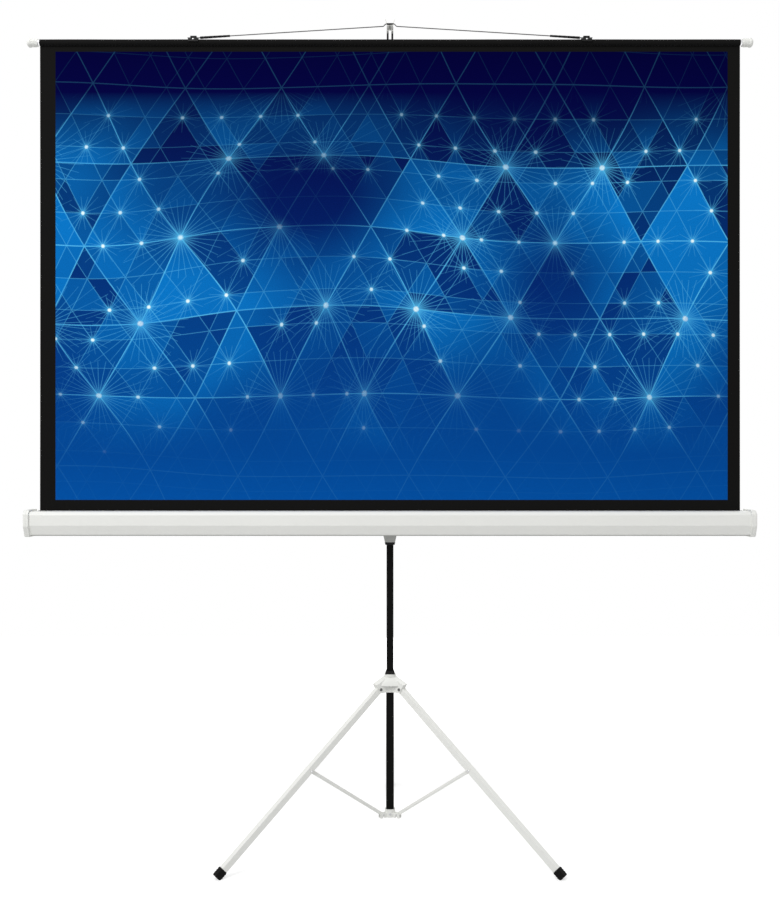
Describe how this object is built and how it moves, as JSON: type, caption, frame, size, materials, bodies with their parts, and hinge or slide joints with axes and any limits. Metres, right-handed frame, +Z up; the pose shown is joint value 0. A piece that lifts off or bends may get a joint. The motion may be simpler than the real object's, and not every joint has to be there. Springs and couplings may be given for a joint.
{
  "type": "tripod projection screen",
  "caption": "Portable projection screen: fabric drawn up from a sprung roller in a long case to a hook on a telescopic mast, on a folding tripod.",
  "frame": {"origin": "point of the floor under the mast's axis", "axes": "+Z up the mast, -Y the way the screen faces, +X to the right of someone who looks at the screen"},
  "size_m": [1.864, 0.7335, 2.143],
  "materials": {
    "white_paint": "satin off-white paint",
    "grey_plastic": "fine grained light grey moulding",
    "black_paint": "satin black paint",
    "black_plastic": "matt black moulding",
    "black_rubber": "matt rubber",
    "steel": "plain steel",
    "aluminium": "drawn tube",
    "screen_cloth": "coated projection cloth with a dark border",
    "border_cloth": "black coated cloth"
  },
  "bodies": {
    "mast": {"mast_tube": "black_paint", "mast_collar": "grey_plastic", "collar_screw": "steel", "mast_bushing": "black_plastic"},
    "hub": {"tripod_sleeve": "black_paint", "tripod_hub": "grey_plastic", "hub_flange": "black_plastic", "leg_hinge_pins": "steel"},
    "leg_left": {"leg_channel_left": "white_paint", "foot_cap_left": "black_rubber", "brace_rivet_left": "steel"},
    "brace_left": {"brace_bar_left": "white_paint", "brace_lower_pin_left": "steel"},
    "leg_right": {"leg_channel_right": "white_paint", "foot_cap_right": "black_rubber", "brace_rivet_right": "steel"},
    "brace_right": {"brace_bar_right": "white_paint", "brace_lower_pin_right": "steel"},
    "leg_rear": {"leg_channel_rear": "white_paint", "foot_cap_rear": "black_rubber", "brace_rivet_rear": "steel"},
    "brace_rear": {"brace_bar_rear": "white_paint", "brace_lower_pin_rear": "steel"},
    "slider": {"slider_block": "grey_plastic", "carry_handle": "black_plastic"},
    "latch": {"slider_latch": "black_plastic"},
    "case": {"swivel_plate": "steel", "swivel_pin": "steel", "plate_screws": "steel", "case_shell": "white_paint", "case_cap_left": "grey_plastic", "case_cap_right": "grey_plastic", "roller_axle_left": "steel", "roller_axle_right": "steel", "screen_fabric": "screen_cloth"},
    "roller": {"roller_tube": "aluminium", "roller_plug_left": "black_plastic", "roller_plug_right": "black_plastic", "roller_spring": "steel", "screen_roll": "screen_cloth"},
    "batten": {"batten_tube": "aluminium", "screen_hem": "border_cloth", "batten_knob_left": "grey_plastic", "batten_knob_right": "grey_plastic", "bail_clip_left": "black_plastic", "bail_clip_right": "black_plastic", "clip_rivets": "steel"},
    "bail": {"hanger_bail": "steel"},
    "extension": {"extension_tube": "black_paint", "extension_guide": "black_plastic", "hook_stem": "black_plastic", "hook_head": "grey_plastic"}
  },
  "joints": [
    {"name": "hub_slide", "type": "slide", "parent": "mast", "child": "hub", "axis": [0, 0, 1], "range_m": [0, 0.19344]},
    {"name": "leg_fold_left", "type": "hinge", "parent": "hub", "child": "leg_left", "pos_m": [-0.02858, -0.0165, 0.404], "axis": [0.5, -0.866, 0], "range_deg": [0, 48.1]},
    {"name": "leg_fold_right", "type": "hinge", "parent": "hub", "child": "leg_right", "pos_m": [0.02858, -0.0165, 0.404], "axis": [0.5, 0.866, 0], "range_deg": [0, 48.1]},
    {"name": "leg_fold_rear", "type": "hinge", "parent": "hub", "child": "leg_rear", "pos_m": [0, 0.033, 0.404], "axis": [-1, 0, 0], "range_deg": [0, 48.1]},
    {"name": "brace_turn_left", "type": "hinge", "parent": "leg_left", "child": "brace_left", "pos_m": [-0.19873, -0.11474, 0.22167], "axis": [-0.5, 0.866, 0], "range_deg": [0, 101.57]},
    {"name": "brace_turn_right", "type": "hinge", "parent": "leg_right", "child": "brace_right", "pos_m": [0.19873, -0.11474, 0.22167], "axis": [-0.5, -0.866, 0], "range_deg": [0, 101.57]},
    {"name": "brace_turn_rear", "type": "hinge", "parent": "leg_rear", "child": "brace_rear", "pos_m": [0, 0.22947, 0.22167], "axis": [1, 0, 0], "range_deg": [0, 101.57]},
    {"name": "ext_slide", "type": "slide", "parent": "mast", "child": "extension", "axis": [0, 0, 1], "range_m": [-0.92, 0]},
    {"name": "case_slide", "type": "slide", "parent": "mast", "child": "slider", "axis": [0, 0, 1], "range_m": [0, 0.24]},
    {"name": "latch_press", "type": "slide", "parent": "slider", "child": "latch", "axis": [-1, 0, 0], "range_m": [0, 0.003], "stiffness_N_per_m": 400},
    {"name": "case_swivel", "type": "hinge", "parent": "slider", "child": "case", "pos_m": [0, -0.036, 0.839], "axis": [0, 1, 0], "range_deg": [0, 50]},
    {"name": "screen_retract", "type": "slide", "parent": "case", "child": "batten", "axis": [0, 0, 1], "range_m": [-1.185, 0], "deforming": ["screen_fabric"]},
    {"name": "roller_spin", "type": "hinge", "parent": "case", "child": "roller", "pos_m": [0, -0.066, 0.839], "axis": [1, 0, 0], "continuous": true},
    {"name": "bail_swing", "type": "hinge", "parent": "batten", "child": "bail", "pos_m": [0, -0.045, 2.085], "axis": [1, 0, 0], "range_deg": [0, 110]}
  ],
  "couplings": [
    {"joint": "leg_fold_right", "follows": "leg_fold_left", "ratio": 1},
    {"joint": "leg_fold_rear", "follows": "leg_fold_left", "ratio": 1},
    {"joint": "hub_slide", "follows": "leg_fold_left", "m_per_rad": 0.2304},
    {"joint": "brace_turn_left", "follows": "leg_fold_left", "ratio": 2.1114},
    {"joint": "brace_turn_right", "follows": "leg_fold_left", "ratio": 2.1114},
    {"joint": "brace_turn_rear", "follows": "leg_fold_left", "ratio": 2.1114},
    {"joint": "roller_spin", "follows": "screen_retract", "rad_per_m": 47.619}
  ]
}
